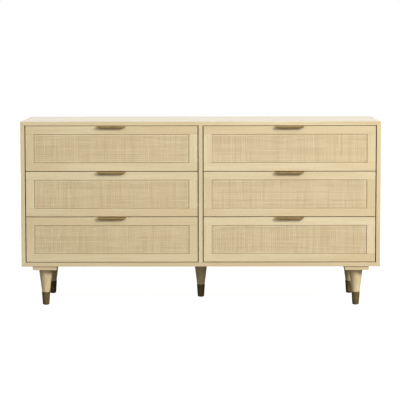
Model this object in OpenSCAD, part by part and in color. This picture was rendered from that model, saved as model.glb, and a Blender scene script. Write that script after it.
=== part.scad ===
// Six-drawer double dresser: a mitred oak-veneered carcass on five tapered legs, with cane-fronted
// drawers on three-part ball-bearing slides.
// Millimetres. X runs left to right, the drawers face -Y, and Z is up from the floor.
// The origin is on the floor, under the middle of the whole object's box.

/* [Carcass] */
// Width of the carcass over its side panels
carcass_w = 1500; // [1250:10:1800]
// Depth of the carcass, front edge to back edge
carcass_d = 400; // [330:5:520]
// Height of the carcass box, without its legs
carcass_h = 608; // [500:2:800]
// Thickness of the top, bottom, side and divider boards
board_t = 17; // [15:1:22]
// Thickness of the two back boards
back_t = 5; // [4:0.5:7]
// Width of the rebate that each back board lies in
back_lap = 9; // [8:0.5:11]
// Gap between a back board and the end of its rebate
back_gap = 0.5; // [0.2:0.1:1]

/* [Drawer fronts] */
// Gap below and between the drawer fronts
row_gap = 3; // [2:0.5:5]
// Gap between a top drawer's front and the top board
top_gap = 2; // [1.5:0.5:5]
// Gap between a drawer front and the upright beside it
side_gap = 4; // [2:0.5:6]
// Setback of the drawer fronts behind the carcass's front edge
front_setback = 2; // [0:0.5:6]
// Thickness of the front frame's rails and stiles
frame_t = 18; // [15:1:22]
// Height of the two rails
rail_w = 34; // [26:1:44]
// Width of the two stiles
stile_w = 35; // [26:1:60]
// Depth from the frame's face down to the cane
cane_recess = 1.5; // [1:0.5:8]
// Thickness of the cane webbing
cane_t = 1.5; // [1:0.1:2]
// Shadow gap between the frame and the insert board that carries the cane
insert_gap = 1; // [0.5:0.1:3]

/* [Drawer boxes] */
// Thickness of the box's four boards
box_t = 12; // [10:0.5:15]
// Height of the box above the lower edge of the drawer front
box_lift = 20; // [12:1:25]
// Height of the drawer front above its box
box_drop = 26; // [22:1:50]
// Thickness of the box bottom
bottom_t = 4; // [3:0.5:6]
// Depth of the groove that holds the box bottom
groove_d = 5; // [3:0.5:7]
// Height of the box bottom above the lower edge of the box
bottom_lift = 9; // [6:1:15]
// Play of the box bottom in its groove
groove_play = 0.2; // [0.1:0.1:0.5]
// Least free depth behind a closed drawer box
rear_room = 20; // [10:1:40]

/* [Slides] */
// Space for a slide between the box and the upright
slide_space = 13; // [12.7:0.1:14]
// Height of the cabinet member
slide_h = 45; // [42:1:53]
// Thickness of the slide's steel
slide_t = 1.2; // [1:0.1:1.5]
// Room for the balls between one member's flange and the next
ball_room = 4.3; // [3.5:0.1:5]
// Height of the slide's centre line above the lower edge of the box
slide_lift = 55; // [40:1:80]
// Step between the lengths that slides are sold in
slide_step = 50; // [25:25:50]

/* [Pulls] */
// Width of the pull
pull_w = 120; // [80:1:200]
// Thickness of the pull's plate
pull_t = 2; // [1.5:0.1:3]
// Reach of the pull in front of the drawer front
pull_reach = 13; // [10:1:30]
// Height of the lip at the pull's front edge
lip_h = 9; // [8:1:18]
// Width that the slanting ends take off the lip
lip_slant = 9; // [4:1:20]
// Outer radius of the bend above the lip
lip_bend = 4; // [3:0.5:6]
// Height of the tab behind the top rail
tab_h = 18; // [14:1:22]
// Distance between the pull's two screws
pull_screw_pitch = 64; // [32:1:96]

/* [Legs] */
// Height from the floor to the underside of the carcass
leg_h = 170; // [130:5:250]
// Side of the square block above each leg
block_w = 100; // [80:1:110]
// Thickness of that block
block_t = 16; // [12:1:25]
// Distance from the carcass's side to the middle of a corner leg
leg_inset_x = 96; // [80:1:200]
// Distance from the carcass's front or back to the middle of a corner leg
leg_inset_y = 55; // [55:1:100]
// Distance of the centre leg behind the middle of the carcass
centre_leg_back = 48; // [0:1:80]
// Diameter of a leg at its top
leg_top_d = 58; // [44:1:70]
// Diameter of a leg where it enters its ferrule
leg_neck_d = 33; // [24:1:40]
// Height of a ferrule's upper edge above the floor
ferrule_h = 56; // [35:1:80]
// Outer diameter of a ferrule at its lower end
ferrule_foot_d = 28.5; // [22:0.5:34]
// Wall of a ferrule
ferrule_wall = 1; // [0.8:0.1:1.5]
// Radius of a ferrule's lower edge
ferrule_round = 5; // [3:0.5:6]
// Glue gap between a leg and its ferrule
ferrule_fit = 0.2; // [0.1:0.1:0.4]
// Diameter of the glide under a ferrule
glide_d = 14; // [8:1:15]
// Thickness of that glide
glide_t = 1; // [1:0.5:4]
// Diameter of the hanger bolt in the top of a leg
bolt_d = 8; // [6:1:10]
// Depth of the hanger bolt in its leg
bolt_in_leg = 35; // [25:1:50]
// Depth of the hanger bolt in the carcass bottom
bolt_in_board = 12; // [8:1:14]

/* [Screws] */
// Diameter of the small wood screws
screw_d = 3; // [2.5:0.5:3.5]
// Diameter of their heads
screw_head_d = 6; // [5:0.5:7]
// Depth that they go into the wood
screw_bite = 12; // [8:1:14]
// Clearance round every screw and bolt in its hole
hole_play = 0.1; // [0.05:0.05:0.3]
// Widest distance between the screws of a back board
back_screw_pitch = 200; // [100:10:300]
// Glue line between two boards, and seat of a screw's head
seam = 0.1; // [0.05:0.05:0.2]

/* [Hidden] */
SIDES = ["left", "right"];
ROWS = ["top", "middle", "bottom"];
LEGS = ["front_left", "front_right", "rear_left", "rear_right", "centre"];
CARCASS = ["top_panel", "bottom_panel", "left_side_panel", "right_side_panel", "centre_divider",
           "back_board_left", "back_board_right", "back_screws"];
UNDERNEATH = ["leg_blocks", "leg_bolts", "leg_ferrules", "leg_glides"];
DRAWER = ["front_frame", "insert_board", "cane_panel", "box", "pull", "runners", "slide_middles"];
NODES = concat(CARCASS,
               [for (leg = LEGS) str(leg, "_leg")],
               UNDERNEATH,
               ["cabinet_rails"],
               [for (s = SIDES, r = ROWS, piece = DRAWER) str(s, "_", r, "_", piece)]);
node = "all";
$fn = 48;

// The cutters reach this far past the faces that they open.
past = 1;

// Carcass: its front plane, back plane and heights.
pull_stand = max(0, pull_reach - front_setback);
front_y = (pull_stand - carcass_d) / 2;
back_y = front_y + carcass_d;
top_z = leg_h + carcass_h;
floor_z = leg_h + board_t;
bank_w = (carcass_w - 3 * board_t) / 2;
bank_h = carcass_h - 2 * board_t;
bank_x = (board_t + bank_w) / 2;

// Drawer fronts.
face_y = front_y + front_setback;
front_w = bank_w - 2 * side_gap;
front_h = (bank_h - top_gap - len(ROWS) * row_gap) / len(ROWS);
opening_w = front_w - 2 * stile_w;
opening_h = front_h - 2 * rail_w;
insert_t = frame_t - cane_recess - cane_t;

// Drawer boxes, each as long as the longest slide that fits behind its front.
box_y = face_y + frame_t;
slide_l = slide_step * floor((back_y - back_t - rear_room - box_y) / slide_step);
box_w = bank_w - 2 * slide_space;
box_h = front_h - box_lift - box_drop;

// Slide members, nested from the cabinet member inwards.
middle_h = slide_h - 2 * (slide_t + ball_room);
runner_h = middle_h - 2 * (slide_t + ball_room);
member_reach = slide_space - 2 * slide_t;
web_gap = 1;

// Legs and their ferrules.
neck_outer_d = leg_neck_d + 2 * (ferrule_fit + ferrule_wall);
leg_x = carcass_w / 2 - leg_inset_x;
leg_front_y = front_y + leg_inset_y;
leg_rear_y = back_y - leg_inset_y;
centre_leg_y = (front_y + back_y) / 2 + centre_leg_back;
LEG_AT = [[-leg_x, leg_front_y], [leg_x, leg_front_y], [-leg_x, leg_rear_y], [leg_x, leg_rear_y],
          [0, centre_leg_y]];
leg_z = leg_h - block_t;

// Screw heads.
pan_h = 2;
screw_top_d = screw_d + 1;
countersink_h = 2.5;

function shown(name) = node == "all" || node == name;
function front_z(row) = floor_z + row_gap + (len(ROWS) - 1 - row) * (front_h + row_gap);
function side_sign(s) = s == 0 ? -1 : 1;
// Evenly spread positions from a to b, no further apart than the pitch.
function spread(a, b, pitch) =
    let (n = max(1, ceil(abs(b - a) / pitch)))
    [for (i = [0:n]) a + (b - a) * i / n];

// ---- Carcass -------------------------------------------------------------------------------

// A board lying along X with 45 degree mitres. Its outer face is at z = 0 and its inner face below.
module mitred_board(l) {
    difference() {
        translate([0, back_y, 0])
            rotate([90, 0, 0])
                linear_extrude(carcass_d)
                    polygon([[-l / 2, 0], [l / 2, 0],
                             [l / 2 - board_t, -board_t], [board_t - l / 2, -board_t]]);
        translate([-l / 2, back_y - back_t, -board_t - past])
            cube([l, back_t + past, back_lap + past]);
    }
}

// Where the screws of the back boards stand, as [x, z].
back_x0 = (board_t + back_gap) / 4;
back_x1 = carcass_w / 2 - board_t + back_lap / 2;
back_z0 = floor_z - back_lap / 2;
back_z1 = top_z - board_t + back_lap / 2;
back_screw_xs = spread(back_x0 + back_lap, back_x1 - back_lap, back_screw_pitch);
back_screw_zs = spread(back_z0 + back_screw_pitch / 2, back_z1 - back_screw_pitch / 2, back_screw_pitch);
BACK_SCREWS = [for (s = [-1, 1])
    each concat([for (x = back_screw_xs, z = [back_z0, back_z1]) [s * x, z]],
                [for (z = back_screw_zs, x = [back_x0, back_x1]) [s * x, z]])];

module back_screw_holes() {
    for (at = BACK_SCREWS)
        translate([at[0], back_y - back_t - screw_bite, at[1]])
            rotate([-90, 0, 0])
                cylinder(d = screw_d + 2 * hole_play, h = back_t + screw_bite + past);
}

module top_panel() {
    color("#d8c79c") difference() {
        translate([0, 0, top_z]) mitred_board(carcass_w);
        back_screw_holes();
    }
}

module bottom_panel() {
    color("#d8c79c") difference() {
        translate([0, 0, leg_h]) mirror([0, 0, 1]) mitred_board(carcass_w);
        back_screw_holes();
        for (at = LEG_AT)
            translate([at[0], at[1], leg_h - past])
                cylinder(d = bolt_d + 2 * hole_play, h = bolt_in_board + past + hole_play);
    }
}

module side_panel(s) {
    color("#d8c79c") difference() {
        translate([side_sign(s) * carcass_w / 2, 0, leg_h + carcass_h / 2])
            rotate([0, side_sign(s) * 90, 0])
                mitred_board(carcass_h);
        back_screw_holes();
    }
}

module centre_divider() {
    color("#d8c79c") difference() {
        translate([-board_t / 2, front_y, floor_z])
            cube([board_t, carcass_d - back_t, bank_h]);
        back_screw_holes();
    }
}

module countersunk_screw() {
    cylinder(d = screw_d, h = screw_bite + back_t - countersink_h);
    translate([0, 0, screw_bite + back_t - countersink_h])
        cylinder(d1 = screw_d, d2 = screw_head_d, h = countersink_h);
}

module back_board(s) {
    inner_x = back_gap / 2;
    board_w = carcass_w / 2 - board_t + back_lap - back_gap - inner_x;
    color("#cdbb93") difference() {
        translate([s == 0 ? -inner_x - board_w : inner_x, back_y - back_t, floor_z - back_lap + back_gap])
            cube([board_w, back_t, bank_h + 2 * (back_lap - back_gap)]);
        back_screw_holes();
        for (at = BACK_SCREWS)
            translate([at[0], back_y - countersink_h, at[1]])
                rotate([-90, 0, 0])
                    cylinder(d1 = screw_d + 2 * hole_play, d2 = screw_head_d + 2 * hole_play,
                             h = countersink_h);
    }
}

module back_screws() {
    color("#a9a9a6")
        for (at = BACK_SCREWS)
            translate([at[0], back_y - back_t - screw_bite, at[1]])
                rotate([-90, 0, 0])
                    countersunk_screw();
}

// ---- Legs ----------------------------------------------------------------------------------

module leg_blocks() {
    color("#cfbd90")
        for (at = LEG_AT)
            translate([at[0], at[1], leg_z]) difference() {
                translate([-block_w / 2, -block_w / 2, 0]) cube([block_w, block_w, block_t]);
                translate([0, 0, -past]) cylinder(d = bolt_d + 2 * hole_play, h = block_t + 2 * past);
            }
}

// A turned leg: a long taper down to the ferrule, then a slighter one inside it.
module leg(i) {
    foot_r = ferrule_foot_d / 2 - ferrule_wall - ferrule_fit;
    tip_z = glide_t + ferrule_wall + ferrule_fit;
    color("#d3c094") translate([LEG_AT[i][0], LEG_AT[i][1], 0]) difference() {
        rotate_extrude()
            polygon([[0, tip_z], [foot_r - ferrule_round, tip_z], [foot_r, tip_z + ferrule_round],
                     [leg_neck_d / 2, ferrule_h], [leg_top_d / 2, leg_z], [0, leg_z]]);
        translate([0, 0, leg_z - bolt_in_leg - hole_play])
            cylinder(d = bolt_d + 2 * hole_play, h = bolt_in_leg + hole_play + past);
    }
}

module leg_bolts() {
    color("#b4b4b0")
        for (at = LEG_AT)
            translate([at[0], at[1], leg_z - bolt_in_leg])
                cylinder(d = bolt_d, h = bolt_in_leg + block_t + bolt_in_board);
}

// A drawn metal cup with a rounded lower edge.
module leg_ferrules() {
    foot_r = ferrule_foot_d / 2;
    in_r = foot_r - ferrule_wall;
    in_z = glide_t + ferrule_wall;
    steps = 6;
    color("#7d6738")
        for (at = LEG_AT)
            translate([at[0], at[1], 0])
                rotate_extrude()
                    polygon(concat(
                        [[0, glide_t]],
                        [for (k = [0:steps]) let (a = 90 * k / steps)
                            [foot_r - ferrule_round * (1 - sin(a)), glide_t + ferrule_round * (1 - cos(a))]],
                        [[neck_outer_d / 2, ferrule_h], [neck_outer_d / 2 - ferrule_wall, ferrule_h],
                         [in_r, in_z + ferrule_round], [in_r - ferrule_round, in_z], [0, in_z]]));
}

module leg_glides() {
    color("#3a3733")
        for (at = LEG_AT)
            translate([at[0], at[1], 0]) cylinder(d = glide_d, h = glide_t);
}

// ---- Slides --------------------------------------------------------------------------------

// A channel with its web at x = 0, opening towards +X, centred on z = 0.
module channel(h, reach) {
    rotate([90, 0, 0]) linear_extrude(slide_l) {
        difference() {
            translate([0, -h / 2]) square([reach, h]);
            translate([slide_t, slide_t - h / 2]) square([reach, h - 2 * slide_t]);
        }
    }
}

// Puts a member on both sides of a drawer, as seen from the upright towards the box.
module on_both_sides(s, r) {
    translate([side_sign(s) * bank_x, box_y + slide_l, front_z(r) + box_lift + slide_lift])
        for (m = [0, 1])
            mirror([m, 0, 0])
                translate([-bank_w / 2, 0, 0])
                    children();
}

module cabinet_rails() {
    color("#b9bab8")
        for (s = [0, 1], r = [0:len(ROWS) - 1])
            on_both_sides(s, r) channel(slide_h, member_reach);
}

module slide_middles(s, r) {
    color("#c6c7c4")
        on_both_sides(s, r)
            translate([slide_t + web_gap, 0, 0])
                channel(middle_h, member_reach - slide_t - web_gap);
}

module runners(s, r) {
    color("#aeb0ae")
        on_both_sides(s, r)
            translate([slide_space, 0, 0])
                mirror([1, 0, 0])
                    channel(runner_h, member_reach - slide_t - web_gap);
}

// ---- Drawers -------------------------------------------------------------------------------

// Moves to the middle of a drawer front's lower edge, on the plane of its face.
module at_front(s, r) {
    translate([side_sign(s) * bank_x, face_y, front_z(r)]) children();
}

// A screw along Y with its pan head towards +Y. The head seats on the plane y = 0.
module pan_screw(bite) {
    rotate([90, 0, 0]) cylinder(d = screw_d, h = bite);
    translate([0, seam, 0]) rotate([-90, 0, 0]) cylinder(d1 = screw_head_d, d2 = screw_top_d, h = pan_h);
    rotate([-90, 0, 0]) cylinder(d = screw_d, h = seam);
}

module pull_screw_places() {
    for (x = [-1, 1])
        translate([x * pull_screw_pitch / 2, frame_t + pull_t, front_h - tab_h * 0.6])
            children();
}

module front_frame(s, r) {
    color("#dccb9f") at_front(s, r) {
        // Top rail, let down for the pull's plate and drilled from behind for its screws.
        difference() {
            translate([-front_w / 2, 0, front_h - rail_w]) cube([front_w, frame_t, rail_w]);
            translate([-pull_w / 2 - hole_play, -past, front_h - pull_t])
                cube([pull_w + 2 * hole_play, frame_t + 2 * past, pull_t + past]);
            pull_screw_places()
                rotate([90, 0, 0])
                    cylinder(d = screw_d + 2 * hole_play, h = pull_t + screw_bite + hole_play);
        }
        translate([-front_w / 2, 0, 0]) cube([front_w, frame_t, rail_w]);
        for (m = [0, 1])
            mirror([m, 0, 0])
                translate([-front_w / 2, 0, rail_w + seam])
                    cube([stile_w, frame_t, opening_h - 2 * seam]);
    }
}

// The board and the cane on it, which stand in the frame with a shadow gap all round.
module insert_layer(y, t) {
    translate([insert_gap - opening_w / 2, y, rail_w + insert_gap])
        cube([opening_w - 2 * insert_gap, t, opening_h - 2 * insert_gap]);
}

module insert_board(s, r) {
    color("#c9b486") at_front(s, r) insert_layer(cane_recess + cane_t, insert_t);
}

module cane_panel(s, r) {
    color("#d2bb8b") at_front(s, r) insert_layer(cane_recess, cane_t);
}

// The groove that runs round the inside of the box for its bottom.
module bottom_groove() {
    in_w = box_w - 2 * box_t + 2 * groove_d;
    translate([-in_w / 2, box_t - groove_d, bottom_lift - groove_play])
        cube([in_w, slide_l - 2 * box_t + 2 * groove_d, bottom_t + 2 * groove_play]);
}

module box(s, r) {
    bottom_w = box_w - 2 * box_t + 2 * (groove_d - groove_play);
    bottom_l = slide_l - 2 * box_t + 2 * (groove_d - groove_play);
    color("#dcc9a0") at_front(s, r) translate([0, frame_t, box_lift]) {
        for (m = [0, 1])
            mirror([m, 0, 0]) difference() {
                translate([-box_w / 2, 0, 0]) cube([box_t, slide_l, box_h]);
                bottom_groove();
            }
        for (y = [0, slide_l - box_t])
            difference() {
                translate([box_t + seam - box_w / 2, y, 0])
                    cube([box_w - 2 * (box_t + seam), box_t, box_h]);
                bottom_groove();
            }
        translate([-bottom_w / 2, (slide_l - bottom_l) / 2, bottom_lift])
            cube([bottom_w, bottom_l, bottom_t]);
    }
}

// The pull's section, as y and z from the top front edge of the drawer front.
module pull_section() {
    rear_y = frame_t + pull_t;
    tall = max(lip_h, tab_h);
    difference() {
        union() {
            translate([lip_bend - pull_reach, -tall]) square([rear_y + pull_reach - lip_bend, tall]);
            translate([-pull_reach, -tall]) square([rear_y + pull_reach, tall - lip_bend]);
            translate([lip_bend - pull_reach, -lip_bend]) circle(lip_bend);
        }
        // The hollow under the plate, down to the lip on one side and the tab on the other.
        union() {
            translate([lip_bend - pull_reach, -tall - past])
                square([frame_t + pull_reach - lip_bend, tall + past - pull_t]);
            translate([pull_t - pull_reach, -tall - past])
                square([frame_t + pull_reach - pull_t, tall + past - lip_bend]);
            translate([lip_bend - pull_reach, -lip_bend]) circle(lip_bend - pull_t);
        }
        translate([-pull_reach - past, -tall - past]) square([pull_reach + frame_t / 2, tall + past - lip_h]);
        translate([frame_t / 2, -tall - past]) square([frame_t, tall + past - tab_h]);
    }
}

module pull(s, r) {
    color("#a2875a") at_front(s, r) {
        difference() {
            translate([-pull_w / 2, 0, front_h]) rotate([90, 0, 90]) linear_extrude(pull_w) pull_section();
            // The slanting ends of the lip.
            for (m = [0, 1])
                mirror([m, 0, 0])
                    translate([0, -past, front_h])
                        rotate([90, 0, 0])
                            linear_extrude(pull_reach)
                                polygon([[pull_w / 2 - lip_slant, -lip_h],
                                         [pull_w / 2 - lip_slant, -lip_h - past],
                                         [pull_w / 2 + past, -lip_h - past],
                                         [pull_w / 2 + past, -pull_t], [pull_w / 2, -pull_t]]);
            pull_screw_places()
                translate([0, past, 0])
                    rotate([90, 0, 0])
                        cylinder(d = screw_d + 2 * hole_play, h = pull_t + 2 * past);
        }
        pull_screw_places() pan_screw(pull_t + screw_bite);
    }
}

// ---- The assembly --------------------------------------------------------------------------

if (shown("top_panel")) top_panel();
if (shown("bottom_panel")) bottom_panel();
if (shown("left_side_panel")) side_panel(0);
if (shown("right_side_panel")) side_panel(1);
if (shown("centre_divider")) centre_divider();
if (shown("back_board_left")) back_board(0);
if (shown("back_board_right")) back_board(1);
if (shown("back_screws")) back_screws();
if (shown("leg_blocks")) leg_blocks();
if (shown("leg_bolts")) leg_bolts();
if (shown("leg_ferrules")) leg_ferrules();
if (shown("leg_glides")) leg_glides();
if (shown("cabinet_rails")) cabinet_rails();
for (i = [0:len(LEGS) - 1])
    if (shown(str(LEGS[i], "_leg"))) leg(i);
for (s = [0, 1], r = [0:len(ROWS) - 1]) {
    place = str(SIDES[s], "_", ROWS[r], "_");
    if (shown(str(place, "front_frame"))) front_frame(s, r);
    if (shown(str(place, "insert_board"))) insert_board(s, r);
    if (shown(str(place, "cane_panel"))) cane_panel(s, r);
    if (shown(str(place, "box"))) box(s, r);
    if (shown(str(place, "pull"))) pull(s, r);
    if (shown(str(place, "runners"))) runners(s, r);
    if (shown(str(place, "slide_middles"))) slide_middles(s, r);
}
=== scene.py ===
import math
import random

import bmesh
import bpy
from mathutils import Matrix, Vector


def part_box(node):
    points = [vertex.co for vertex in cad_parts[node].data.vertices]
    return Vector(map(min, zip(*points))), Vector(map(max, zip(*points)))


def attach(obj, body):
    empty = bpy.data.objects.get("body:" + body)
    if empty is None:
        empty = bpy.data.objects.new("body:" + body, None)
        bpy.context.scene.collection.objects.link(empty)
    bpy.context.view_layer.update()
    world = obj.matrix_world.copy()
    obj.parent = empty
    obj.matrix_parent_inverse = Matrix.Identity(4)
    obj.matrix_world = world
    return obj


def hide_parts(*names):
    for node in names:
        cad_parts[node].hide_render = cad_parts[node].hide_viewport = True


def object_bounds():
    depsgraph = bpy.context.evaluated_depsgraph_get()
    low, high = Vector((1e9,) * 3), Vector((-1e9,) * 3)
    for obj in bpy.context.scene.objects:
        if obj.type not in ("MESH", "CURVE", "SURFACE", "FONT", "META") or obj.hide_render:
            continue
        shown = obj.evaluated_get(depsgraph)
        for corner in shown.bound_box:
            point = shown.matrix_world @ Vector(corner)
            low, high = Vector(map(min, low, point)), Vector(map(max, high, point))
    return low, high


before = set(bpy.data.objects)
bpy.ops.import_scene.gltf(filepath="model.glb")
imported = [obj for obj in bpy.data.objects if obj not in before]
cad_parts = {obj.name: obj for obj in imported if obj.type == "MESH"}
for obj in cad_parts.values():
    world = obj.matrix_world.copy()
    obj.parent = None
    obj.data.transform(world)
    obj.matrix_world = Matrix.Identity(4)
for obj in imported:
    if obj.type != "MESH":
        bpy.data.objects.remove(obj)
cad_low, cad_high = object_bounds()

# ---- Studio ---------------------------------------------------------------------------------
# A pale floor under a plain white sky, seen from the front by a long lens a little above the
# dresser. The sky lights mostly from above, a lamp stands up to the right and a broad one in
# front, and a weak one keeps the back from going dark.

studio = bpy.context.scene
studio.view_settings.view_transform = "Standard"

SKY_SEEN = 1.0
SKY_LOW = 0.07
SKY_HIGH = 0.75
FLOOR_REACH = 40
FLOOR_GLOW = 0.93
sky = bpy.data.worlds.new("white_sky")
sky.use_nodes = True
sky_nodes, sky_links = sky.node_tree.nodes, sky.node_tree.links
height_in_sky = sky_nodes.new("ShaderNodeSeparateXYZ")
sky_links.new(sky_nodes.new("ShaderNodeTexCoord").outputs["Generated"], height_in_sky.inputs[0])
brightness = sky_nodes.new("ShaderNodeMapRange")
brightness.inputs["From Min"].default_value = 0.35
brightness.inputs["From Max"].default_value = 0.75
brightness.inputs["To Min"].default_value = SKY_LOW
brightness.inputs["To Max"].default_value = SKY_HIGH
sky_links.new(height_in_sky.outputs["Z"], brightness.inputs["Value"])
ray = sky_nodes.new("ShaderNodeLightPath")
seen = sky_nodes.new("ShaderNodeMath")
seen.operation = "MAXIMUM"
sky_links.new(ray.outputs["Is Camera Ray"], seen.inputs[0])
sky_links.new(ray.outputs["Is Glossy Ray"], seen.inputs[1])
seen_or_lighting = sky_nodes.new("ShaderNodeMix")
sky_links.new(seen.outputs[0], seen_or_lighting.inputs["Factor"])
sky_links.new(brightness.outputs["Result"], seen_or_lighting.inputs["A"])
seen_or_lighting.inputs["B"].default_value = SKY_SEEN
sky_links.new(seen_or_lighting.outputs["Result"], sky_nodes["Background"].inputs["Strength"])
sky_nodes["Background"].inputs["Color"].default_value = (1, 1, 1, 1)
studio.world = sky

floor_shape = bmesh.new()
bmesh.ops.create_grid(floor_shape, x_segments=4, y_segments=4, size=FLOOR_REACH)
floor_mesh = bpy.data.meshes.new("floor")
floor_shape.to_mesh(floor_mesh)
floor_shape.free()
floor = bpy.data.objects.new("floor", floor_mesh)
studio.collection.objects.link(floor)
floor_paint = bpy.data.materials.new("floor_paint")
floor_paint.use_nodes = True
floor_tree = floor_paint.node_tree
floor_shader = floor_tree.nodes["Principled BSDF"]
floor_shader.inputs["Base Color"].default_value = (0.21, 0.20, 0.18, 1)
floor_shader.inputs["Roughness"].default_value = 0.9
floor_shader.inputs["Specular IOR Level"].default_value = 0.1
floor_shader.inputs["Emission Color"].default_value = (1, 1, 1, 1)
floor_ray = floor_tree.nodes.new("ShaderNodeLightPath")
floor_glow = floor_tree.nodes.new("ShaderNodeMath")
floor_glow.operation = "MULTIPLY"
floor_glow.inputs[1].default_value = FLOOR_GLOW
floor_tree.links.new(floor_ray.outputs["Is Camera Ray"], floor_glow.inputs[0])
floor_tree.links.new(floor_glow.outputs[0], floor_shader.inputs["Emission Strength"])
floor_mesh.materials.append(floor_paint)


def softbox(name, azimuth, elevation, distance, size, watts):
    """A square lamp that looks at the middle of the dresser, and leaves no glare on the lacquer.
    Azimuth is to the right of straight in front."""
    turn, lift = math.radians(azimuth), math.radians(elevation)
    towards = Vector((math.sin(turn) * math.cos(lift), -math.cos(turn) * math.cos(lift), math.sin(lift)))
    lamp = bpy.data.lights.new(name, "AREA")
    lamp.size = size
    lamp.energy = watts
    holder = bpy.data.objects.new(name, lamp)
    holder.location = (cad_low + cad_high) / 2 + towards * distance
    holder.rotation_euler = towards.to_track_quat("Z", "Y").to_euler()
    holder.visible_glossy = False
    studio.collection.objects.link(holder)


softbox("key_lamp", azimuth=46, elevation=28, distance=6.5, size=1.6, watts=358)
softbox("fill_lamp", azimuth=-4, elevation=20, distance=5.0, size=2.6, watts=68)
softbox("back_lamp", azimuth=200, elevation=8, distance=6.0, size=3.0, watts=55)

camera_lens = bpy.data.cameras.new("camera")
camera_lens.sensor_width = 36
camera_lens.lens = 135.67
camera_lens.shift_y = -0.1396
camera_lens.clip_end = 200
camera = bpy.data.objects.new("camera", camera_lens)
camera_stand_off = 6.254
camera_across = 0.0187
camera_height = 1.134
camera_tilt = math.radians(4.12)
camera_turn = math.radians(0.186)
camera_lean = math.radians(0.08)
carcass_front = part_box("left_side_panel")[0].y
camera.location = (camera_across, carcass_front - camera_stand_off, camera_height)
camera.rotation_euler = (math.pi / 2 - camera_tilt, camera_lean, camera_turn)
studio.collection.objects.link(camera)
studio.camera = camera

# ---- Carcass --------------------------------------------------------------------------------
# Five 17 mm boards faced with pale oak. Top, bottom and sides meet in glued 45 degree mitres, and
# the upright divider stands in the middle. The grain runs round the box, and every edge is eased.

BOARD = 0.017
EDGE_EASE = 0.0007
OAK = (0.745, 0.634, 0.412)
OAK_STREAK = (0.62, 0.488, 0.276)
OAK_PORE = (0.36, 0.26, 0.13)
GRAIN_RELIEF = 0.00012


def add_node(tree, kind, settings=None, values=None):
    """Adds one node, sets its options, and fills or links its inputs."""
    node = tree.nodes.new("ShaderNode" + kind)
    for option, value in (settings or {}).items():
        setattr(node, option, value)
    for socket, value in (values or {}).items():
        if isinstance(value, bpy.types.NodeSocket):
            tree.links.new(value, node.inputs[socket])
        else:
            node.inputs[socket].default_value = value
    return node


def stretched(tree, vector, factors):
    """The vector, multiplied along each of its axes."""
    return add_node(tree, "VectorMath", {"operation": "MULTIPLY"}, {0: vector, 1: factors}).outputs[0]


def band(tree, value, low, high, low_out=0.0, high_out=1.0):
    """The value, spread smoothly from low_out at low to high_out at high."""
    return add_node(tree, "MapRange", {"interpolation_type": "SMOOTHSTEP"},
                    {"Value": value, "From Min": low, "From Max": high,
                     "To Min": low_out, "To Max": high_out}).outputs[0]


def mixed(tree, share, first, second):
    """One colour laid over another, by a share from 0 to 1."""
    node = add_node(tree, "Mix", {"data_type": "RGBA"}, {"Factor": share, "A": first, "B": second})
    return node.outputs["Result"]


def scaled(tree, value, factor):
    """The value times a factor."""
    return add_node(tree, "Math", {"operation": "MULTIPLY"}, {0: value, 1: factor}).outputs[0]


def noise(tree, vector, scale, detail, roughness=0.5):
    """Cloudy values around a half, that change along the vector."""
    return add_node(tree, "TexNoise", None, {
        "Vector": vector, "Scale": scale, "Detail": detail, "Roughness": roughness}).outputs["Fac"]


def feed(tree, shader, colour, roughness, height=None, depth=0.0):
    """Leads a colour, a roughness and a relief of this depth into the shader."""
    tree.links.new(colour, shader.inputs["Base Color"])
    tree.links.new(roughness, shader.inputs["Roughness"])
    if height is not None:
        bump = add_node(tree, "Bump", None, {"Height": height, "Distance": depth})
        tree.links.new(bump.outputs["Normal"], shader.inputs["Normal"])


def shader_group(name, inputs, outputs):
    """An empty node group with these sockets, and its two end nodes."""
    group = bpy.data.node_groups.new(name, "ShaderNodeTree")
    for socket, kind, value in inputs:
        made = group.interface.new_socket(socket, in_out="INPUT", socket_type="NodeSocket" + kind)
        if value is not None:
            made.default_value = value
    for socket, kind in outputs:
        group.interface.new_socket(socket, in_out="OUTPUT", socket_type="NodeSocket" + kind)
    return group, group.nodes.new("NodeGroupInput"), group.nodes.new("NodeGroupOutput")


# Sawn wood, with its grain along the first axis of the vector: broad tones, growth lines that
# wander, fine streaks, and the short dark pores of oak.
wood_grain, given, made = shader_group(
    "wood_grain",
    [("Grain", "Vector", None), ("Wood", "Color", (*OAK, 1)), ("Streak", "Color", (*OAK_STREAK, 1)),
     ("Pore", "Color", (*OAK_PORE, 1)), ("Growth", "Float", 0.5), ("Pores", "Float", 0.5)],
    [("Color", "Color"), ("Roughness", "Float"), ("Height", "Float")])
along_grain = given.outputs["Grain"]
tones = noise(wood_grain, stretched(wood_grain, along_grain, (1.3, 11, 11)), 1, 3)
growth = add_node(wood_grain, "TexWave", {"bands_direction": "Y"}, {
    "Vector": stretched(wood_grain, along_grain, (1.5, 24, 7)), "Scale": 1, "Distortion": 7,
    "Detail": 3, "Detail Scale": 0.8}).outputs["Fac"]
streaks = noise(wood_grain, stretched(wood_grain, along_grain, (4, 260, 260)), 1, 5, 0.65)
pores = noise(wood_grain, stretched(wood_grain, along_grain, (130, 2600, 2600)), 1, 1)
tone_share = band(wood_grain, tones, 0.32, 0.72, 0, 0.55)
growth_lines = scaled(wood_grain, band(wood_grain, growth, 0.45, 1.0), given.outputs["Growth"])
streak_share = band(wood_grain, streaks, 0.42, 0.7, 0, 0.6)
pore_marks = scaled(wood_grain, band(wood_grain, pores, 0.6, 0.7), given.outputs["Pores"])
toned = mixed(wood_grain, tone_share, given.outputs["Wood"], given.outputs["Streak"])
lined = mixed(wood_grain, growth_lines, toned, given.outputs["Streak"])
streaked = mixed(wood_grain, streak_share, lined, given.outputs["Streak"])
pored = mixed(wood_grain, pore_marks, streaked, given.outputs["Pore"])
wood_grain.links.new(pored, made.inputs["Color"])
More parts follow.
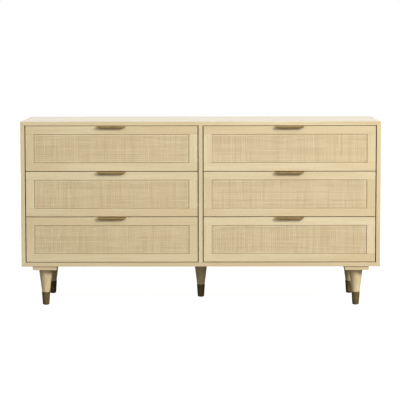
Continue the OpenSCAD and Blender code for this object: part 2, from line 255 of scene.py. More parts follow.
wood_grain.links.new(band(wood_grain, streaks, 0.3, 0.7, 0.56, 0.68), made.inputs["Roughness"])
raised = add_node(wood_grain, "Math", {"operation": "SUBTRACT"},
                  {0: scaled(wood_grain, streaks, 0.5), 1: pore_marks}).outputs[0]
wood_grain.links.new(raised, made.inputs["Height"])


def finish_shader(name, **constants):
    """A material's tree and its Principled shader, with the shader's constant values set."""
    material = bpy.data.materials.new(name)
    material.use_nodes = True
    shader = material.node_tree.nodes["Principled BSDF"]
    for socket, value in constants.items():
        shader.inputs[socket.replace("_", " ")].default_value = value
    return material, material.node_tree, shader


def wood(name, light, streak, pore, growth=0.5, pores=0.5, **constants):
    """Wood that follows the boards' own grain attribute."""
    material, tree, shader = finish_shader(name, **constants)
    grain = add_node(tree, "Attribute", {"attribute_name": "grain"}).outputs["Vector"]
    pattern = add_node(tree, "Group", {"node_tree": wood_grain}, {
        "Grain": grain, "Wood": (*light, 1), "Streak": (*streak, 1), "Pore": (*pore, 1),
        "Growth": growth, "Pores": pores})
    feed(tree, shader, pattern.outputs["Color"], pattern.outputs["Roughness"],
         pattern.outputs["Height"], GRAIN_RELIEF)
    return material


oak = wood("oak", OAK, OAK_STREAK, OAK_PORE, Coat_Weight=0.6, Coat_Roughness=0.12)
board_turns = {"X": Matrix.Identity(3), "Y": Matrix.Rotation(math.pi / 2, 3, "Z"),
               "Z": Matrix.Rotation(math.pi / 2, 3, "Y")}
timber = random.Random(7)


def follow_grain(shape, along):
    """Gives every board its own stretch of grain, running along X, Y or Z."""
    layer = shape.verts.layers.float_vector.new("grain")
    start = Vector([timber.uniform(0, 40) for axis in range(3)])
    for vert in shape.verts:
        vert[layer] = board_turns[along] @ vert.co + start


def soften(shape, edges, width):
    """Rounds these edges over by the width."""
    bmesh.ops.bevel(shape, geom=edges, offset=width, offset_type="OFFSET", segments=2,
                    profile=0.5, affect="EDGES", clamp_overlap=True, material=-1)


def sawn_board(low, high, along, ease=EDGE_EASE, trim=None):
    """A board between two corners, with eased edges. trim cuts its ends before that."""
    low, high = Vector(low), Vector(high)
    shape = bmesh.new()
    bmesh.ops.create_cube(shape, size=1)
    bmesh.ops.scale(shape, vec=high - low, verts=shape.verts)
    bmesh.ops.translate(shape, vec=(low + high) / 2, verts=shape.verts)
    if trim:
        trim(shape)
    soften(shape, shape.edges[:], ease)
    follow_grain(shape, along)
    return shape


def verts_in(geometry):
    """The vertices among the vertices, edges and faces that an operator gives back."""
    return [item for item in geometry if isinstance(item, bmesh.types.BMVert)]


def gather(parts):
    """Several shapes as one."""
    whole = bmesh.new()
    for part in parts:
        mesh = bpy.data.meshes.new("part")
        part.to_mesh(mesh)
        part.free()
        whole.from_mesh(mesh)
        bpy.data.meshes.remove(mesh)
    return whole


def finished(name, shape, material, body, nodes=(), smooth=None):
    """Makes the shape a piece of the dresser. Smooth is the angle up to which its faces blend."""
    mesh = bpy.data.meshes.new(name)
    shape.to_mesh(mesh)
    shape.free()
    mesh.materials.append(material)
    if smooth:
        mesh.shade_smooth()
        mesh.set_sharp_from_angle(angle=math.radians(smooth))
    piece = bpy.data.objects.new(name, mesh)
    studio.collection.objects.link(piece)
    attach(piece, body)
    if nodes:
        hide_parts(*nodes)
    return piece


def mitre(axis, inner_axis, inner_is_high):
    """Draws both ends of a board's inner face in by its own thickness."""
    def cut(shape):
        ends = [vert.co[axis] for vert in shape.verts]
        faces = [vert.co[inner_axis] for vert in shape.verts]
        inner = max(faces) if inner_is_high else min(faces)
        middle = (max(ends) + min(ends)) / 2
        for vert in shape.verts:
            if abs(vert.co[inner_axis] - inner) < 1e-5:
                vert.co[axis] += BOARD if vert.co[axis] < middle else -BOARD
    return cut


carcass_boards = {
    "top_panel": ("X", mitre(0, 2, False)),
    "bottom_panel": ("X", mitre(0, 2, True)),
    "left_side_panel": ("Z", mitre(2, 0, True)),
    "right_side_panel": ("Z", mitre(2, 0, False)),
    "centre_divider": ("Z", None),
}
for node, (along, trim) in carcass_boards.items():
    finished(node + "_oak", sawn_board(*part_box(node), along, trim=trim), oak, "carcass", [node])

# ---- Back -----------------------------------------------------------------------------------
# Two thin veneered boards lie in the rebate behind the drawers, held by countersunk screws with
# a cross in each head.

THIN_EASE = 0.0003
CROSS_ARM = 0.55
CROSS_HALF = 0.13
HEAD_SKIN = 0.0003
SCREW_HEAD = 0.003
FLUSH_RISE = 0.0001
CROSS_SINK = 0.0012

back_veneer = wood("back_veneer", (0.66, 0.54, 0.34), (0.55, 0.43, 0.25), (0.3, 0.22, 0.12), growth=0.7)
for node in ("back_board_left", "back_board_right"):
    finished(node + "_veneer", sawn_board(*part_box(node), "X", ease=THIN_EASE), back_veneer,
             "carcass", [node])

zinc, zinc_tree, zinc_shader = finish_shader("zinc", Metallic=1.0)
zinc_place = add_node(zinc_tree, "TexCoord").outputs["Object"]
zinc_spangle = noise(zinc_tree, zinc_place, 900, 3)
zinc_haze = noise(zinc_tree, zinc_place, 40, 2)
feed(zinc_tree, zinc_shader, mixed(zinc_tree, zinc_haze, (0.52, 0.54, 0.55, 1), (0.66, 0.66, 0.64, 1)),
     band(zinc_tree, zinc_spangle, 0.3, 0.7, 0.28, 0.45))


def turned(outline, segments, at):
    """An outline of (radius, height) points, spun once round Z."""
    shape = bmesh.new()
    points = [shape.verts.new((radius, 0, height)) for radius, height in outline]
    rim = [shape.edges.new(pair) for pair in zip(points, points[1:])]
    bmesh.ops.spin(shape, geom=points + rim, cent=(0, 0, 0), axis=(0, 0, 1), angle=math.tau,
                   steps=segments, use_merge=True)
    bmesh.ops.remove_doubles(shape, verts=shape.verts, dist=1e-6)
    bmesh.ops.recalc_face_normals(shape, faces=shape.faces)
    bmesh.ops.translate(shape, vec=at, verts=shape.verts)
    return shape


def cross_head(radius, rise, sink):
    """A screw's head seated on the plane z = 0, domed by rise, with a cross cut sink deep into it."""
    arm, half = radius * CROSS_ARM, radius * CROSS_HALF
    seat = max(sink - rise, 0) + HEAD_SKIN
    corners = [(half, half), (half, arm), (-half, arm), (-half, half), (-arm, half), (-arm, -half),
               (-half, -half), (-half, -arm), (half, -arm), (half, -half), (arm, -half), (arm, half)]
    shape = bmesh.new()
    bmesh.ops.create_circle(shape, segments=24, radius=radius)
    rim_edges = shape.edges[:]
    cross = [shape.verts.new((x, y, rise)) for x, y in corners]
    cross_edges = [shape.edges.new((cross[k - 1], cross[k])) for k in range(len(cross))]
    bmesh.ops.bridge_loops(shape, edges=rim_edges + cross_edges)
    for loop, drop in ((cross_edges, sink), (rim_edges, seat)):
        drawn = bmesh.ops.extrude_edge_only(shape, edges=loop)["geom"]
        lower = verts_in(drawn)
        bmesh.ops.translate(shape, vec=(0, 0, -drop), verts=lower)
        lower_edges = [item for item in drawn if isinstance(item, bmesh.types.BMEdge)
                       and all(vert in lower for vert in item.verts)]
        bmesh.ops.contextual_create(shape, geom=lower_edges)
    bmesh.ops.recalc_face_normals(shape, faces=shape.faces)
    return shape


def set_out(shape, places, turn=Matrix.Identity(4)):
    """Copies of one shape, turned and then moved to each place."""
    bmesh.ops.transform(shape, matrix=turn, verts=shape.verts)
    parts = []
    for place in places:
        part = shape.copy()
        bmesh.ops.translate(part, vec=place, verts=part.verts)
        parts.append(part)
    shape.free()
    return gather(parts)


def solid_centres(node):
    """The middle and the two corners of each separate solid in a CAD node, in the node's order."""
    loose = bmesh.new()
    loose.from_mesh(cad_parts[node].data)
    bmesh.ops.remove_doubles(loose, verts=loose.verts, dist=1e-6)
    left = set(loose.verts)
    found = []
    for first in loose.verts:
        if first not in left:
            continue
        left.remove(first)
        stack = [first]
        low, high = first.co.copy(), first.co.copy()
        while stack:
            vert = stack.pop()
            low = Vector(map(min, low, vert.co))
            high = Vector(map(max, high, vert.co))
            for edge in vert.link_edges:
                other = edge.other_vert(vert)
                if other in left:
                    left.remove(other)
                    stack.append(other)
        found.append(((low + high) / 2, low, high))
    loose.free()
    return found


face_back = Matrix.Rotation(-math.pi / 2, 4, "X")
back_screw_heads = [Vector((middle.x, high.y, middle.z))
                    for middle, low, high in solid_centres("back_screws")]
back_screw_head = cross_head(SCREW_HEAD, FLUSH_RISE, CROSS_SINK)
finished("back_screw_heads", set_out(back_screw_head, back_screw_heads, face_back),
         zinc, "carcass", ["back_screws"], smooth=30)

# ---- Legs -----------------------------------------------------------------------------------
# Five turned oak legs with a straight taper, each screwed up through a square oak block by a
# hanger bolt. A dark bronze cup with a rounded foot and a nylon glide closes the lower end.

BLOCK_EASE = 0.0015
LEG_ROUND = 0.0012
FERRULE_FOOT = 0.01425
FERRULE_WALL = 0.001
FERRULE_FIT = 0.0002
FOOT_ROUND = 0.005
FOOT_RADIUS = FERRULE_FOOT - FERRULE_WALL - FERRULE_FIT
BEAD = ((-0.0002, -0.0022), (0, -0.0016), (0, -0.0005), (-0.0004, 0), (-FERRULE_WALL, 0))
GLIDE_RADIUS = 0.007
GLIDE_CHAMFER = (0.0006, 0.0005)

leg_oak = wood("leg_oak", (0.745, 0.61, 0.365), (0.61, 0.475, 0.26), OAK_PORE,
               Coat_Weight=0.2, Coat_Roughness=0.3)
blocks = [sawn_board(low, high, "X", ease=BLOCK_EASE) for middle, low, high in solid_centres("leg_blocks")]
finished("leg_blocks_oak", gather(blocks), oak, "carcass", ["leg_blocks"])

leg_names = ("front_left", "front_right", "rear_left", "rear_right", "centre")
ferrule_boxes = solid_centres("leg_ferrules")
ferrule_low, ferrule_high = ferrule_boxes[0][1:]
neck_radius = (ferrule_high.x - ferrule_low.x) / 2 - FERRULE_WALL - FERRULE_FIT
for name in leg_names:
    low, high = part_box(name + "_leg")
    foot, top = low.z, high.z
    top_radius = (high.x - low.x) / 2
    outline = [(0, foot), (FOOT_RADIUS - FOOT_ROUND, foot), (FOOT_RADIUS, foot + FOOT_ROUND),
               (neck_radius, ferrule_high.z),
               (top_radius - LEG_ROUND * 0.1, top - LEG_ROUND), (top_radius - LEG_ROUND, top), (0, top)]
    leg = turned(outline, segments=56, at=((low.x + high.x) / 2, (low.y + high.y) / 2, 0))
    follow_grain(leg, "Z")
    finished(name + "_leg_turned", leg, leg_oak, "carcass", [name + "_leg"], smooth=35)

# The cup's wall is drawn to a 5 mm round at the foot. Its upper edge has a small rolled bead, whose
# outline is given from the mouth's outer corner.
bronze, bronze_tree, bronze_shader = finish_shader("aged_bronze", Metallic=0.1, Specular_IOR_Level=0.2)
bronze_place = add_node(bronze_tree, "TexCoord").outputs["Object"]
bronze_cloud = noise(bronze_tree, bronze_place, 55, 5)
bronze_turning = noise(bronze_tree, stretched(bronze_tree, bronze_place, (60, 60, 4200)), 1, 2)
bronze_colour = mixed(bronze_tree, band(bronze_tree, bronze_cloud, 0.3, 0.7),
                      (0.125, 0.088, 0.036, 1), (0.19, 0.137, 0.06, 1))
feed(bronze_tree, bronze_shader, bronze_colour, band(bronze_tree, bronze_turning, 0.3, 0.7, 0.28, 0.44),
     bronze_turning, 0.00003)

cups = []
glides = []
arc = [math.radians(15 * step) for step in range(7)]
for middle, low, high in ferrule_boxes:
    mouth = (high.x - low.x) / 2
    outside = [(FERRULE_FOOT - FOOT_ROUND * (1 - math.sin(a)), low.z + FOOT_ROUND * (1 - math.cos(a)))
               for a in arc]
    bead = [(mouth + out, high.z + up) for out, up in BEAD]
    well = low.z + FERRULE_WALL
    inside = [(FERRULE_FOOT - FERRULE_WALL, well + FOOT_ROUND),
              (FERRULE_FOOT - FERRULE_WALL - FOOT_ROUND, well), (0, well)]
    cups.append(turned([(0, low.z)] + outside + bead + inside, segments=48, at=(middle.x, middle.y, 0)))
    glide = [(0, 0), (GLIDE_RADIUS - GLIDE_CHAMFER[0], 0), (GLIDE_RADIUS, GLIDE_CHAMFER[1]),
             (GLIDE_RADIUS, low.z), (0, low.z)]
    glides.append(turned(glide, segments=32, at=(middle.x, middle.y, 0)))
finished("ferrules_bronze", gather(cups), bronze, "carcass", ["leg_ferrules"], smooth=32)

nylon, nylon_tree, nylon_shader = finish_shader("black_nylon")
nylon_speckle = noise(nylon_tree, add_node(nylon_tree, "TexCoord").outputs["Object"], 1500, 2)
nylon_colour = mixed(nylon_tree, nylon_speckle, (0.015, 0.015, 0.016, 1), (0.035, 0.034, 0.033, 1))
feed(nylon_tree, nylon_shader, nylon_colour, band(nylon_tree, nylon_speckle, 0.3, 0.7, 0.45, 0.6))
finished("glides_nylon", gather(glides), nylon, "carcass", ["leg_glides"], smooth=30)
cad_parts["leg_bolts"].data.materials.clear()
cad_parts["leg_bolts"].data.materials.append(zinc)

# ---- Drawer fronts --------------------------------------------------------------------------
# Each front is a frame of oak, two full-width rails with stiles between them. A board with cane
# webbing stretched over it stands inside the frame, a shadow gap back from it all round.

ROWS = ("top", "middle", "bottom")
drawers = [side + "_" + row for side in ("left", "right") for row in ROWS]
FRONT_EASE = 0.0005
PULL_THICK = 0.002
NOTCH_PLAY = 0.0001


def profile_board(corners, axis, low, high, along, ease):
    """A board with a worked section. Its corners are in the other two axes, from low to high on axis."""
    def place(first, second, station):
        point = [first, second]
        point.insert(axis, station)
        return point
    shape = bmesh.new()
    end = shape.faces.new([shape.verts.new(place(*corner, low)) for corner in corners])
    pushed = bmesh.ops.extrude_face_region(shape, geom=[end])["geom"]
    bmesh.ops.translate(shape, vec=place(0, 0, high - low), verts=verts_in(pushed))
    bmesh.ops.recalc_face_normals(shape, faces=shape.faces)
    soften(shape, shape.edges[:], ease)
    follow_grain(shape, along)
    return shape


# Cane webbing of the square kind: pairs of flat strands, one over and one under, with a square
# eye between the pairs. Each strand has its own tint, and the pale board shows through the eyes.
EYE_PITCH = 0.009
STRAND_WIDTH = 0.0024
STRAND_THICK = 0.0004
PAIR_SPREAD = 0.0028
WEAVE_RISE = 0.00038

cane, cane_tree, cane_shader = finish_shader("natural_cane", Sheen_Weight=0.1, Sheen_Roughness=0.5)
cane_grain = add_node(cane_tree, "Attribute", {"attribute_name": "grain"}).outputs["Vector"]
cane_tint = add_node(cane_tree, "Attribute", {"attribute_name": "tint"}).outputs["Fac"]
cane_fibre = noise(cane_tree, stretched(cane_tree, cane_grain, (25, 5200, 5200)), 1, 3)
cane_blotch = noise(cane_tree, stretched(cane_tree, cane_grain, (9, 160, 160)), 1, 2)
cane_tinted = mixed(cane_tree, cane_tint, (0.575, 0.452, 0.257, 1), (0.73, 0.605, 0.38, 1))
cane_pale = mixed(cane_tree, band(cane_tree, cane_blotch, 0.45, 0.65, 0, 0.8), cane_tinted,
                  (0.80, 0.68, 0.45, 1))
cane_colour = mixed(cane_tree, band(cane_tree, cane_fibre, 0.45, 0.8, 0, 0.4), cane_pale,
                    (0.44, 0.32, 0.155, 1))
feed(cane_tree, cane_shader, cane_colour, band(cane_tree, cane_fibre, 0.3, 0.7, 0.36, 0.55),
     cane_fibre, 0.00005)


def strand_lines(low, high):
    """The middles of the strands that fit between low and high, in pairs about each eye's edge."""
    pairs = int((high - low) / EYE_PITCH)
    first = (low + high) / 2 - (pairs - 1) / 2 * EYE_PITCH
    lines = [first + k * EYE_PITCH + side * PAIR_SPREAD / 2 for k in range(pairs) for side in (-1, 1)]
    return [line for line in lines if low + STRAND_WIDTH / 2 < line < high - STRAND_WIDTH / 2]


def strand(start, end, across, crossings, over_first, spine_y, upright, tint):
    """One flat strand that goes over and under its crossings in turn."""
    stops = sorted(set([start, end] + crossings + [(a + b) / 2 for a, b in zip(crossings, crossings[1:])]))
    shape = bmesh.new()
    bmesh.ops.create_grid(shape, x_segments=len(stops) - 1, y_segments=1, size=1)
    columns = sorted({round(vert.co.x, 6) for vert in shape.verts})
    rise_at = {stop: 0.0 for stop in stops}
    for k, crossing in enumerate(crossings):
        rise_at[crossing] = WEAVE_RISE if (k % 2 == 0) == over_first else -WEAVE_RISE
    for vert in shape.verts:
        stop = stops[columns.index(round(vert.co.x, 6))]
        vert.co = Vector((stop, STRAND_WIDTH / 2 * (1 if vert.co.y > 0 else -1), rise_at[stop]))
    lifted = bmesh.ops.extrude_face_region(shape, geom=shape.faces[:])["geom"]
    bmesh.ops.translate(shape, vec=(0, 0, STRAND_THICK), verts=verts_in(lifted))
    bmesh.ops.recalc_face_normals(shape, faces=shape.faces)
    grain = shape.verts.layers.float_vector.new("grain")
    shade = shape.verts.layers.float.new("tint")
    shift = Vector([timber.uniform(0, 30) for axis in range(3)])
    for vert in shape.verts:
        length, side, height = vert.co
        vert[grain] = vert.co + shift
        vert[shade] = tint
        if upright:
            vert.co = Vector((across + side, spine_y - height, length))
        else:
            vert.co = Vector((length, spine_y - height, across + side))
    if upright:
        bmesh.ops.reverse_faces(shape, faces=shape.faces)
    return shape


for drawer in drawers:
    body = drawer + "_drawer"
    members = sorted(solid_centres(drawer + "_front_frame"), key=lambda solid: solid[0].z)
    bottom_rail, top_rail = members[0], members[-1]
    middle, low, high = top_rail
    pull_low, pull_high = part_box(drawer + "_pull")
    notch_low = pull_low.x - NOTCH_PLAY
    notch_high = pull_high.x + NOTCH_PLAY
    notch_floor = high.z - PULL_THICK
    notched = [(low.x, low.z), (high.x, low.z), (high.x, high.z), (notch_high, high.z),
               (notch_high, notch_floor), (notch_low, notch_floor), (notch_low, high.z), (low.x, high.z)]
    parts = [sawn_board(bottom_rail[1], bottom_rail[2], "X", ease=FRONT_EASE),
             profile_board(notched, 1, low.y, high.y, "X", ease=FRONT_EASE)]
    parts += [sawn_board(low, high, "Z", ease=FRONT_EASE) for middle, low, high in members[1:-1]]
    finished(drawer + "_frame_oak", gather(parts), oak, body, [drawer + "_front_frame"])

    low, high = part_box(drawer + "_insert_board")
    finished(drawer + "_insert_veneer", sawn_board(low, high, "X", ease=FRONT_EASE), back_veneer, body,
             [drawer + "_insert_board"])

    low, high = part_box(drawer + "_cane_panel")
    spine = (low.y + high.y) / 2
    columns = strand_lines(low.x, high.x)
    rows = strand_lines(low.z, high.z)
    strands = []
    for k, x in enumerate(columns):
        strands.append(strand(low.z, high.z, x, rows, k % 2 == 0, spine, True, timber.random()))
    for k, z in enumerate(rows):
        strands.append(strand(low.x, high.x, z, columns, k % 2 == 1, spine, False, timber.random()))
    finished(drawer + "_cane_webbing", gather(strands), cane, body, [drawer + "_cane_panel"],
             smooth=80)

# ---- Pulls ----------------------------------------------------------------------------------
# Each pull is a strip of 2 mm antique brass, bent down in front into a lip with slanting ends
# and bent down behind the top rail, where two pan-head screws hold it.

brass, brass_tree, brass_shader = finish_shader("antique_brass", Metallic=0.75)
brass_place = add_node(brass_tree, "TexCoord").outputs["Object"]
brass_brushing_and_highlight = noise(brass_tree, stretched(brass_tree, brass_place, (14, 3800, 3800)), 1, 3)
brass_patina = noise(brass_tree, brass_place, 70, 5, 0.6)
brass_aged = mixed(brass_tree, band(brass_tree, brass_patina, 0.38, 0.68),
                   (0.465, 0.325, 0.142, 1), (0.35, 0.237, 0.102, 1))
# The lighter brass laid along the brushing streaks is partly the brushed metal's own tone and partly painted
# highlight, standing in for the sheen that brushing catches. The same streaks also set the roughness and the
# fine relief.
brass_brushed_and_highlighted = mixed(brass_tree, band(brass_tree, brass_brushing_and_highlight, 0.4, 0.75, 0, 0.35), brass_aged,
                      (0.59, 0.435, 0.23, 1))
feed(brass_tree, brass_shader, brass_brushed_and_highlighted, band(brass_tree, brass_brushing_and_highlight, 0.3, 0.7, 0.3, 0.46),
     brass_brushing_and_highlight, 0.00003)

PULL_BEND = 0.004
LIP_HEIGHT = 0.009
LIP_SLANT = 0.009
BEND_STEPS = 6
PULL_EASE = 0.00035
SCREW_WIDEST = 0.02
SCREW_PAST_PLATE = 0.0021
PAN_RISE = 0.0018


def quarter(centre_y, centre_z, radius, first, last):
    """Points along an arc, between two angles in degrees from straight back."""
    turns = [math.radians(first + (last - first) * k / BEND_STEPS) for k in range(BEND_STEPS + 1)]
    return [(centre_y + radius * math.cos(a), centre_z + radius * math.sin(a)) for a in turns]


def bent_strip(path, place, stations, outward, thickness, windows=()):
    """Sheet metal bent along a path of two coordinates, and drawn through the stations. place turns
    both into a point, outward is how its largest face looks, windows are the places punched out."""
    shape = bmesh.new()
    points = [shape.verts.new(place(*point, stations[0])) for point in path]
    edges = [shape.edges.new(pair) for pair in zip(points, points[1:])]
    for before, after in zip(stations, stations[1:]):
        drawn = bmesh.ops.extrude_edge_only(shape, edges=edges)["geom"]
        fresh = set(verts_in(drawn))
        step = Vector(place(0, 0, after)) - Vector(place(0, 0, before))
        bmesh.ops.translate(shape, vec=step, verts=list(fresh))
        edges = [item for item in drawn if isinstance(item, bmesh.types.BMEdge) and set(item.verts) <= fresh]
    punched = [face for face in shape.faces
               if any((face.calc_center_median() - Vector(window)).length < 1e-4 for window in windows)]
    bmesh.ops.delete(shape, geom=punched, context="FACES")
    bmesh.ops.recalc_face_normals(shape, faces=shape.faces)
    if max(shape.faces, key=lambda face: face.calc_area()).normal.dot(Vector(outward)) < 0:
        bmesh.ops.reverse_faces(shape, faces=shape.faces)
    bmesh.ops.solidify(shape, geom=shape.faces[:], thickness=thickness)
    return shape


for drawer in drawers:
    low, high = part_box(drawer + "_pull")
    front, top = low.y, high.z
    screws = [solid for solid in solid_centres(drawer + "_pull")
              if solid[2].x - solid[1].x < SCREW_WIDEST]
    plate_rear = screws[0][2].y - SCREW_PAST_PLATE
    path = [(front, top - LIP_HEIGHT)]
    path += quarter(front + PULL_BEND, top - PULL_BEND, PULL_BEND, 180, 90)
    path += quarter(plate_rear - PULL_BEND, top - PULL_BEND, PULL_BEND, 90, 0)
    path += [(plate_rear, low.z)]
    pull = bent_strip(path, lambda y, z, x: (x, y, z), (low.x, high.x), (0, 0, 1), PULL_THICK)
    middle_x = (low.x + high.x) / 2
    for vert in pull.verts:
        if vert.co.y < front + PULL_BEND:
            drop = max(0.0, top - PULL_THICK - vert.co.z) / (LIP_HEIGHT - PULL_THICK)
            vert.co.x += LIP_SLANT * drop * (1 if vert.co.x < middle_x else -1)
    sharp = [edge for edge in pull.edges if edge.calc_face_angle(0) > math.radians(50)]
    soften(pull, sharp, PULL_EASE)
    finished(drawer + "_pull_brass", pull, brass, drawer + "_drawer", [drawer + "_pull"],
             smooth=35)
    heads = [Vector((solid[0].x, plate_rear, solid[0].z)) for solid in screws]
    pan_head = cross_head(SCREW_HEAD, PAN_RISE, CROSS_SINK)
    finished(drawer + "_pull_screws", set_out(pan_head, heads, face_back), zinc, drawer + "_drawer",
             smooth=30)

# ---- Drawer boxes ---------------------------------------------------------------------------
# Behind each front is a box of four birch boards, glued and screwed at its corners. A thin bottom
# slides into a groove that runs round their inner faces.

birch = wood("birch", (0.70, 0.585, 0.40), (0.62, 0.50, 0.32), (0.45, 0.34, 0.2), growth=0.55, pores=0.12)
BOX_EASE = 0.001
GROOVE_DEPTH = 0.005
GROOVE_PLAY = 0.0001


def grooved(low, high, inner_is_high, groove_low, groove_high):
    """The section of a board across its thickness, with a groove along its inner face."""
    outer, inner = (low[0], high[0]) if inner_is_high else (high[0], low[0])
    floor_at = inner + (-GROOVE_DEPTH if inner_is_high else GROOVE_DEPTH)
    return [(outer, low[1]), (inner, low[1]), (inner, groove_low), (floor_at, groove_low),
            (floor_at, groove_high), (inner, groove_high), (inner, high[1]), (outer, high[1])]


for drawer in drawers:
    boards = solid_centres(drawer + "_box")
    boards.sort(key=lambda board: board[2].z - board[1].z)
    bottom_low, bottom_high = boards[0][1], boards[0][2]
    box_middle = boards[0][0]
    groove = (bottom_low.z - GROOVE_PLAY, bottom_high.z + GROOVE_PLAY)
    parts = [sawn_board(bottom_low, bottom_high, "X", ease=THIN_EASE)]
    for middle, low, high in boards[1:]:
        if high.x - low.x < high.y - low.y:
            section = grooved((low.x, low.z), (high.x, high.z), middle.x < box_middle.x, *groove)
            parts.append(profile_board(section, 1, low.y, high.y, "Y", ease=BOX_EASE))
        else:
            section = grooved((low.y, low.z), (high.y, high.z), middle.y < box_middle.y, *groove)
            parts.append(profile_board(section, 0, low.x, high.x, "X", ease=BOX_EASE))
    finished(drawer + "_box_birch", gather(parts), birch, drawer + "_drawer",
             [drawer + "_box"])

# ---- Slides ---------------------------------------------------------------------------------
# Full-extension slides of 1.2 mm black coated steel, one on each side of every box. A rail is screwed
# to the upright, a runner to the box, and a middle member runs between them on caged steel balls.

SLIDE_SHEET = 0.0012
ROLL = 0.002
MEMBER_REACH = 0.0106
SLIDE_SPACE = 0.013
MIDDLE_WEB = 0.0022
RUNNER_LIP = 0.0046
RAIL_HALF = 0.0225
MIDDLE_HALF = 0.017
RUNNER_HALF = 0.0115
LIP_TURN = 0.0009
RAIL_SLOTS = (0.14, 0.5, 0.82)
RAIL_SLOT_LENGTH = 0.014
RAIL_SCREWS = (0.08, 0.44, 0.93)
RUNNER_SLOTS = (0.2, 0.6)
RUNNER_SLOT_LENGTH = 0.011
RUNNER_SLOT_HALF = 0.0022
RUNNER_SCREWS = (0.1, 0.5, 0.9)
SLIDE_SCREW_HEAD = 0.0033
SLIDE_CROSS_SINK = 0.0009
SLIDE_PAN_RISE = 0.0009
CAGE_SHEET = 0.0006
CAGE_INSET = 0.01
CAGE_LENGTH = 0.155
OUTER_CAGE = (0.0014, 0.0092, 0.01945)
INNER_CAGE = (0.0037, 0.0101, 0.01395)
BALL_RADIUS = 0.002
BALLS = 6
BALL_PITCH = 0.0262
BALL_INSET = 0.012
BALL_SHIFT = 0.001

black_coat, black_tree, black_shader = finish_shader("black_steel_coat")
black_place = add_node(black_tree, "TexCoord").outputs["Object"]
black_peel = noise(black_tree, black_place, 700, 3)
black_rub = noise(black_tree, stretched(black_tree, black_place, (90, 6, 90)), 1, 3)
black_colour = mixed(black_tree, band(black_tree, black_rub, 0.5, 0.75), (0.018, 0.018, 0.019, 1),
                     (0.045, 0.044, 0.043, 1))
feed(black_tree, black_shader, black_colour, band(black_tree, black_peel, 0.3, 0.7, 0.34, 0.5),
     black_peel, 0.00002)


def rolled_section(web, lip, half, window_half=0.004, lip_turn=0.0):
    """A channel's outer line, from one lip round its web to the other, with rolled corners."""
    away = 1 if lip > web else -1
    corner = [(web + away * ROLL * (1 - math.cos(a)), half - ROLL * (1 - math.sin(a)))
              for a in [math.radians(90 - 30 * k) for k in range(4)]]
    upper = ([(lip, half - lip_turn), (lip - away * lip_turn, half)] if lip_turn else [(lip, half)]) + corner
    return upper + [(web, window_half)] + [(u, -z) for u, z in reversed(upper + [(web, window_half)])]


def slide_screws(web, places, upright, inward, middle_z, facing, rise):
    """Screw heads on a member's web. Facing is 1 towards the box and -1 towards the upright."""
    turn = Matrix.Rotation(math.pi / 2 * inward * facing, 4, "Y")
    return set_out(cross_head(SLIDE_SCREW_HEAD, rise, SLIDE_CROSS_SINK),
                   [Vector((upright + inward * web, y, middle_z)) for y in places], turn)


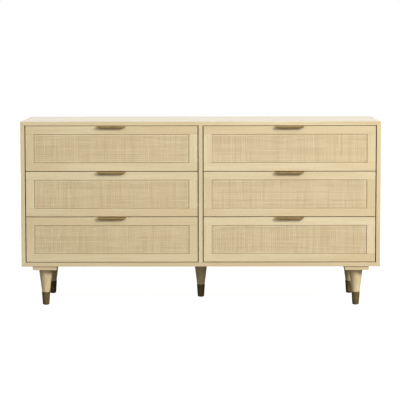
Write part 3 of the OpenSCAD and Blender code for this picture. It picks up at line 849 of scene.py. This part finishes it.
rail_parts = []
rail_screw_parts = []
for drawer in drawers:
    low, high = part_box(drawer + "_slide_middles")
    middle_z = (low.z + high.z) / 2
    length = high.y - low.y
    runner_parts = []
    runner_screw_parts = []
    middle_parts = []
    cage_parts = []
    ball_parts = []
    for upright, inward in ((low.x - MIDDLE_WEB, 1), (high.x + MIDDLE_WEB, -1)):
        def place(u, z, y):
            """A point u in from the upright and z above the slide's middle line."""
            return upright + inward * u, y, middle_z + z

        def member(section, windows, outward, web=0.0):
            """A member of the slide's full length, with its windows punched in the web."""
            stations = sorted([low.y, high.y] + [edge for window in windows for edge in window])
            holes = [place(web, 0, (first + last) / 2) for first, last in windows]
            return bent_strip(section, place, stations, (outward * inward, 0, 0), SLIDE_SHEET, holes)

        rail_slots = [(low.y + length * share, low.y + length * share + RAIL_SLOT_LENGTH)
                      for share in RAIL_SLOTS]
        rail_section = rolled_section(0, MEMBER_REACH, RAIL_HALF, lip_turn=LIP_TURN)
        rail_parts.append(member(rail_section, rail_slots, -1))
        middle_slots = [(low.y + 0.03, low.y + 0.075), (high.y - 0.09, high.y - 0.04)]
        middle_section = rolled_section(MIDDLE_WEB, MEMBER_REACH, MIDDLE_HALF)
        middle_parts.append(member(middle_section, middle_slots, -1, web=MIDDLE_WEB))
        runner_slots = [(low.y + length * share, low.y + length * share + RUNNER_SLOT_LENGTH)
                        for share in RUNNER_SLOTS]
        runner_section = rolled_section(SLIDE_SPACE, RUNNER_LIP, RUNNER_HALF, window_half=RUNNER_SLOT_HALF)
        runner_parts.append(member(runner_section, runner_slots, 1, web=SLIDE_SPACE))
        rail_screws = [low.y + length * share for share in RAIL_SCREWS]
        rail_screw_parts.append(slide_screws(SLIDE_SHEET, rail_screws, upright, inward, middle_z,
                                             1, FLUSH_RISE))
        runner_screws = [low.y + length * share for share in RUNNER_SCREWS]
        runner_screw_parts.append(slide_screws(SLIDE_SPACE - SLIDE_SHEET, runner_screws, upright, inward,
                                               middle_z, -1, SLIDE_PAN_RISE))
        # The outer cage stays in the rear half of the middle member and the inner cage in its front
        # half, where the other members still cover them with the drawer fully out.
        for (web, lip, half), start in ((OUTER_CAGE, high.y - CAGE_INSET - CAGE_LENGTH),
                                        (INNER_CAGE, low.y + CAGE_INSET)):
            outline = [(lip, half), (web, half), (web, -half), (lip, -half)]
            cage_parts.append(bent_strip(outline, place, (start, start + CAGE_LENGTH), (-inward, 0, 0),
                                         CAGE_SHEET))
            ball = bmesh.new()
            bmesh.ops.create_uvsphere(ball, u_segments=8, v_segments=6, radius=BALL_RADIUS)
            across = (web + lip) / 2 + BALL_SHIFT
            race = half - CAGE_SHEET / 2
            ball_places = [Vector(place(across, edge * race, start + BALL_INSET + k * BALL_PITCH))
                           for edge in (-1, 1) for k in range(BALLS)]
            ball_parts.append(set_out(ball, ball_places))
    finished(drawer + "_runner_steel", gather(runner_parts), black_coat, drawer + "_drawer",
             [drawer + "_runners"], smooth=40)
    finished(drawer + "_runner_screws", gather(runner_screw_parts), zinc, drawer + "_drawer",
             smooth=30)
    finished(drawer + "_slide_middle_steel", gather(middle_parts), black_coat, drawer + "_slide",
             [drawer + "_slide_middles"], smooth=40)
    finished(drawer + "_ball_cages", gather(cage_parts), nylon, drawer + "_slide")
    finished(drawer + "_balls", gather(ball_parts), zinc, drawer + "_slide", smooth=80)
finished("cabinet_rails_steel", gather(rail_parts), black_coat, "carcass", ["cabinet_rails"],
         smooth=40)
finished("cabinet_rail_screws", gather(rail_screw_parts), zinc, "carcass", smooth=30)
